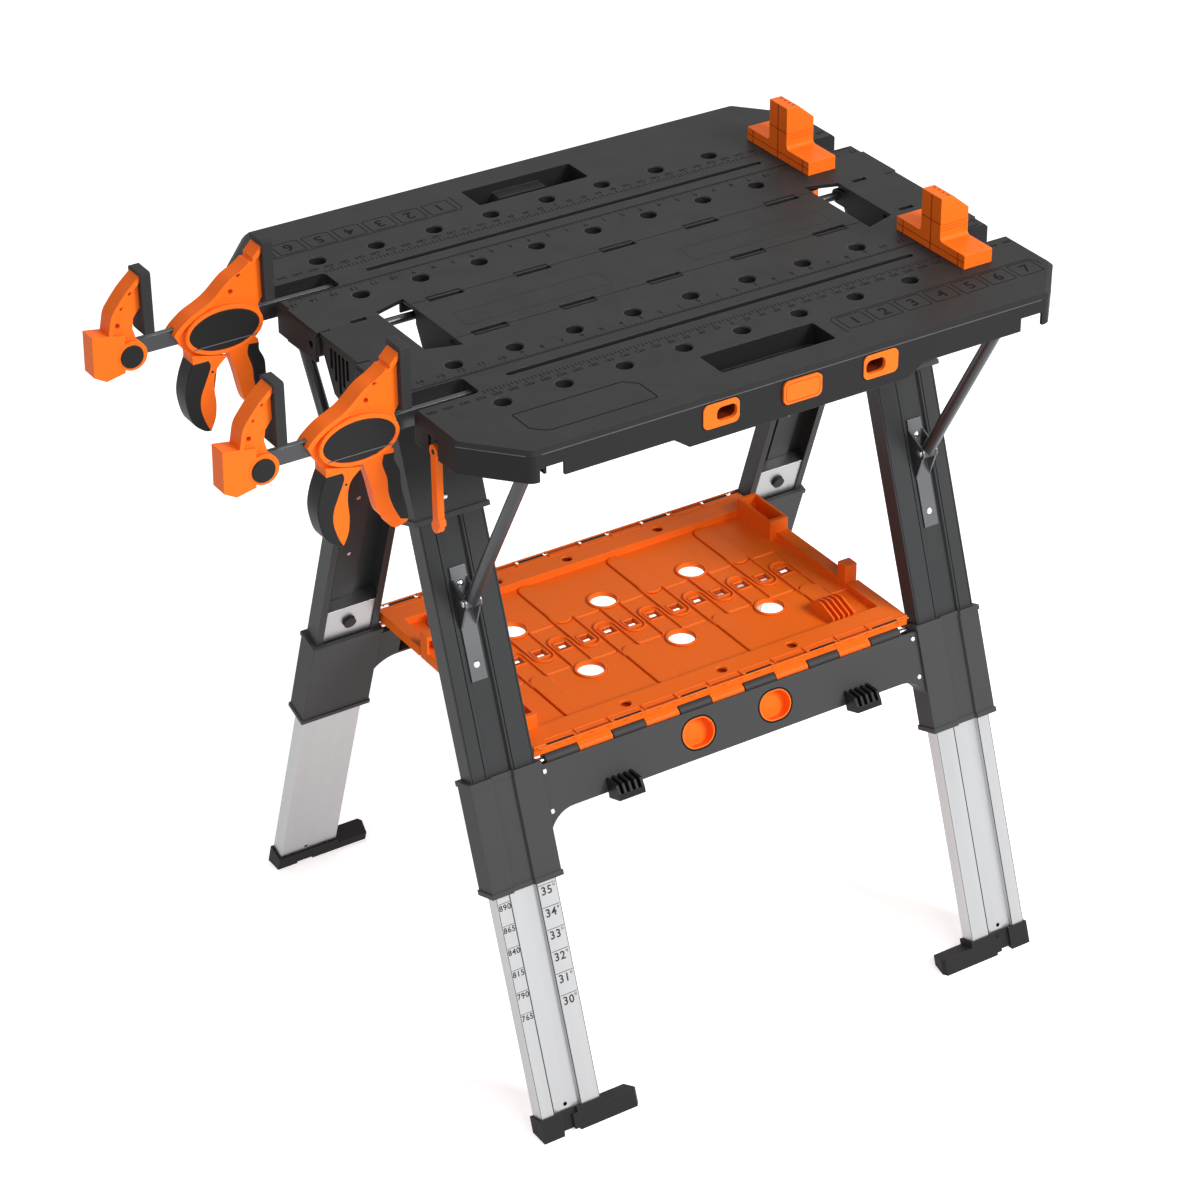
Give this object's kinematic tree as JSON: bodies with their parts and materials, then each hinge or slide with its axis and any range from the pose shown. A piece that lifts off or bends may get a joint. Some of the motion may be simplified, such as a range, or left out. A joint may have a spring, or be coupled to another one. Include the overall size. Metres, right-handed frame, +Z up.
{
  "type": "folding workbench",
  "caption": "Folding workbench with a slotted two-wing top, telescoping legs, a folding tool shelf, bar clamps and bench dogs.",
  "frame": {"origin": "middle of the outline on the floor plane", "axes": "+X along the top away from the clamps, +Y to the back, +Z up"},
  "size_m": [1.0078, 0.674, 0.964],
  "materials": {
    "black_plastic": "fine-grained black moulding",
    "dark_plastic": "plain black moulding",
    "orange_plastic": "satin orange moulding",
    "painted_steel": "satin dark grey paint",
    "dark_steel": "dark phosphate and oil",
    "bright_steel": "plated",
    "aluminium": "clear anodised, fine drawn grain",
    "rubber": "soft black rubber"
  },
  "bodies": {
    "beam": {"centre_deck": "black_plastic", "end_blocks": "black_plastic", "hinge_rods": "dark_steel"},
    "leg_frame_front": {"crossbar_front": "black_plastic", "upper_legs_front": "painted_steel", "leg_caps_front": "black_plastic", "strut_brackets_front": "painted_steel", "frame_pins_front": "bright_steel", "cord_hooks_front": "dark_plastic", "window_cups_front": "orange_plastic"},
    "top_wing_front": {"wing_front": "black_plastic", "side_sockets_front": "orange_plastic"},
    "button_front": {"push_button_front": "orange_plastic"},
    "strap_front": {"latch_strap_front": "orange_plastic"},
    "tool_shelf_front": {"shelf_front": "orange_plastic"},
    "clamp_rail_front": {"clamp_bar_front": "dark_steel", "clamp_end_jaw_front": "orange_plastic", "clamp_end_pad_front": "rubber"},
    "clamp_carriage_front": {"clamp_body_front": "orange_plastic", "clamp_body_pad_front": "rubber"},
    "squeeze_lever_front": {"clamp_lever_front": "orange_plastic"},
    "release_trigger_front": {"clamp_trigger_front": "orange_plastic"},
    "bench_dog_front": {"dog_front": "orange_plastic"},
    "strut_front_left_body": {"strut_front_left": "dark_steel"},
    "lower_leg_front_left_body": {"lower_leg_front_left": "aluminium", "foot_front_left": "black_plastic"},
    "leg_lock_front_left_body": {"leg_lock_front_left": "dark_plastic"},
    "strut_front_right_body": {"strut_front_right": "dark_steel"},
    "lower_leg_front_right_body": {"lower_leg_front_right": "aluminium", "foot_front_right": "black_plastic"},
    "leg_lock_front_right_body": {"leg_lock_front_right": "dark_plastic"},
    "leg_frame_back": {"crossbar_back": "black_plastic", "upper_legs_back": "painted_steel", "leg_caps_back": "black_plastic", "strut_brackets_back": "painted_steel", "frame_pins_back": "bright_steel", "cord_hooks_back": "dark_plastic", "window_cups_back": "orange_plastic"},
    "top_wing_back": {"wing_back": "black_plastic", "side_sockets_back": "orange_plastic"},
    "button_back": {"push_button_back": "orange_plastic"},
    "strap_back": {"latch_strap_back": "orange_plastic"},
    "tool_shelf_back": {"shelf_back": "orange_plastic"},
    "clamp_rail_back": {"clamp_bar_back": "dark_steel", "clamp_end_jaw_back": "orange_plastic", "clamp_end_pad_back": "rubber"},
    "clamp_carriage_back": {"clamp_body_back": "orange_plastic", "clamp_body_pad_back": "rubber"},
    "squeeze_lever_back": {"clamp_lever_back": "orange_plastic"},
    "release_trigger_back": {"clamp_trigger_back": "orange_plastic"},
    "bench_dog_back": {"dog_back": "orange_plastic"},
    "strut_back_left_body": {"strut_back_left": "dark_steel"},
    "lower_leg_back_left_body": {"lower_leg_back_left": "aluminium", "foot_back_left": "black_plastic"},
    "leg_lock_back_left_body": {"leg_lock_back_left": "dark_plastic"},
    "strut_back_right_body": {"strut_back_right": "dark_steel"},
    "lower_leg_back_right_body": {"lower_leg_back_right": "aluminium", "foot_back_right": "black_plastic"},
    "leg_lock_back_right_body": {"leg_lock_back_right": "dark_plastic"}
  },
  "joints": [
    {"name": "leg_fold_front", "type": "hinge", "parent": "beam", "child": "leg_frame_front", "pos_m": [0.11025, -0.056, 0.871], "axis": [1, 0, 0], "range_deg": [0, 19.2]},
    {"name": "wing_fold_front", "type": "hinge", "parent": "leg_frame_front", "child": "top_wing_front", "pos_m": [0.11025, -0.056, 0.871], "axis": [1, 0, 0], "range_deg": [0, 66]},
    {"name": "shelf_fold_front", "type": "hinge", "parent": "leg_frame_front", "child": "tool_shelf_front", "pos_m": [0.11025, -0.17873, 0.40282], "axis": [1, 0, 0], "range_deg": [0, 62.41]},
    {"name": "button_press_front", "type": "slide", "parent": "top_wing_front", "child": "button_front", "axis": [0, 1, 0], "range_m": [0, 0.005], "stiffness_N_per_m": 400},
    {"name": "strap_swing_front", "type": "hinge", "parent": "top_wing_front", "child": "strap_front", "pos_m": [-0.27945, -0.209, 0.858], "axis": [1, 0, 0], "range_deg": [-30, 30]},
    {"name": "strut_fold_front_left", "type": "hinge", "parent": "leg_frame_front", "child": "strut_front_left_body", "pos_m": [-0.20375, -0.13815, 0.6136], "axis": [1, 0, 0], "range_deg": [0, 124.3]},
    {"name": "leg_slide_front_left", "type": "slide", "parent": "leg_frame_front", "child": "lower_leg_front_left_body", "axis": [0, 0.3289, 0.9444], "range_m": [0, 0.134]},
    {"name": "lock_press_front_left", "type": "slide", "parent": "lower_leg_front_left_body", "child": "leg_lock_front_left_body", "axis": [0, -0.9444, 0.3289], "range_m": [0, 0.003], "stiffness_N_per_m": 400},
    {"name": "strut_fold_front_right", "type": "hinge", "parent": "leg_frame_front", "child": "strut_front_right_body", "pos_m": [0.42425, -0.13815, 0.6136], "axis": [1, 0, 0], "range_deg": [0, 124.3]},
    {"name": "leg_slide_front_right", "type": "slide", "parent": "leg_frame_front", "child": "lower_leg_front_right_body", "axis": [0, 0.3289, 0.9444], "range_m": [0, 0.134]},
    {"name": "lock_press_front_right", "type": "slide", "parent": "lower_leg_front_right_body", "child": "leg_lock_front_right_body", "axis": [0, -0.9444, 0.3289], "range_m": [0, 0.003], "stiffness_N_per_m": 400},
    {"name": "clamp_rail_slide_front", "type": "slide", "parent": "top_wing_front", "child": "clamp_rail_front", "axis": [-1, 0, 0], "range_m": [0, 0.02]},
    {"name": "clamp_carriage_slide_front", "type": "slide", "parent": "clamp_rail_front", "child": "clamp_carriage_front", "axis": [-1, 0, 0], "range_m": [-0.008, 0.02]},
    {"name": "lever_squeeze_front", "type": "hinge", "parent": "clamp_carriage_front", "child": "squeeze_lever_front", "pos_m": [-0.32745, -0.1524, 0.8505], "axis": [0, 1, 0], "range_deg": [0, 14], "stiffness_Nm_per_rad": 1},
    {"name": "trigger_pull_front", "type": "hinge", "parent": "clamp_carriage_front", "child": "release_trigger_front", "pos_m": [-0.36345, -0.1524, 0.8225], "axis": [0, 1, 0], "range_deg": [0, 5], "stiffness_Nm_per_rad": 0.3},
    {"name": "dog_lift_front", "type": "slide", "parent": "top_wing_front", "child": "bench_dog_front", "axis": [0, 0, 1], "range_m": [0, 0.03]},
    {"name": "leg_fold_back", "type": "hinge", "parent": "beam", "child": "leg_frame_back", "pos_m": [0.11025, 0.056, 0.871], "axis": [1, 0, 0], "range_deg": [-19.2, 0]},
    {"name": "wing_fold_back", "type": "hinge", "parent": "leg_frame_back", "child": "top_wing_back", "pos_m": [0.11025, 0.056, 0.871], "axis": [1, 0, 0], "range_deg": [-66, 0]},
    {"name": "shelf_fold_back", "type": "hinge", "parent": "leg_frame_back", "child": "tool_shelf_back", "pos_m": [0.11025, 0.17873, 0.40282], "axis": [1, 0, 0], "range_deg": [-62.41, 0]},
    {"name": "button_press_back", "type": "slide", "parent": "top_wing_back", "child": "button_back", "axis": [0, -1, 0], "range_m": [0, 0.005], "stiffness_N_per_m": 400},
    {"name": "strap_swing_back", "type": "hinge", "parent": "top_wing_back", "child": "strap_back", "pos_m": [0.49995, 0.209, 0.858], "axis": [1, 0, 0], "range_deg": [-30, 30]},
    {"name": "strut_fold_back_left", "type": "hinge", "parent": "leg_frame_back", "child": "strut_back_left_body", "pos_m": [-0.20375, 0.13815, 0.6136], "axis": [1, 0, 0], "range_deg": [-124.3, 0]},
    {"name": "leg_slide_back_left", "type": "slide", "parent": "leg_frame_back", "child": "lower_leg_back_left_body", "axis": [0, -0.3289, 0.9444], "range_m": [0, 0.134]},
    {"name": "lock_press_back_left", "type": "slide", "parent": "lower_leg_back_left_body", "child": "leg_lock_back_left_body", "axis": [0, 0.9444, 0.3289], "range_m": [0, 0.003], "stiffness_N_per_m": 400},
    {"name": "strut_fold_back_right", "type": "hinge", "parent": "leg_frame_back", "child": "strut_back_right_body", "pos_m": [0.42425, 0.13815, 0.6136], "axis": [1, 0, 0], "range_deg": [-124.3, 0]},
    {"name": "leg_slide_back_right", "type": "slide", "parent": "leg_frame_back", "child": "lower_leg_back_right_body", "axis": [0, -0.3289, 0.9444], "range_m": [0, 0.134]},
    {"name": "lock_press_back_right", "type": "slide", "parent": "lower_leg_back_right_body", "child": "leg_lock_back_right_body", "axis": [0, 0.9444, 0.3289], "range_m": [0, 0.003], "stiffness_N_per_m": 400},
    {"name": "clamp_rail_slide_back", "type": "slide", "parent": "top_wing_back", "child": "clamp_rail_back", "axis": [-1, 0, 0], "range_m": [0, 0.02]},
    {"name": "clamp_carriage_slide_back", "type": "slide", "parent": "clamp_rail_back", "child": "clamp_carriage_back", "axis": [-1, 0, 0], "range_m": [-0.008, 0.02]},
    {"name": "lever_squeeze_back", "type": "hinge", "parent": "clamp_carriage_back", "child": "squeeze_lever_back", "pos_m": [-0.32745, 0.1524, 0.8505], "axis": [0, 1, 0], "range_deg": [0, 14], "stiffness_Nm_per_rad": 1},
    {"name": "trigger_pull_back", "type": "hinge", "parent": "clamp_carriage_back", "child": "release_trigger_back", "pos_m": [-0.36345, 0.1524, 0.8225], "axis": [0, 1, 0], "range_deg": [0, 5], "stiffness_Nm_per_rad": 0.3},
    {"name": "dog_lift_back", "type": "slide", "parent": "top_wing_back", "child": "bench_dog_back", "axis": [0, 0, 1], "range_m": [0, 0.03]}
  ],
  "couplings": [
    {"joint": "shelf_fold_front", "follows": "leg_fold_front", "ratio": 3.25},
    {"joint": "strut_fold_front_left", "follows": "wing_fold_front", "ratio": 1.8823},
    {"joint": "strut_fold_front_right", "follows": "wing_fold_front", "ratio": 1.8823},
    {"joint": "leg_fold_back", "follows": "leg_fold_front", "ratio": -1},
    {"joint": "shelf_fold_back", "follows": "leg_fold_front", "ratio": -3.25},
    {"joint": "strut_fold_back_left", "follows": "wing_fold_back", "ratio": 1.8823},
    {"joint": "strut_fold_back_right", "follows": "wing_fold_back", "ratio": 1.8823}
  ]
}
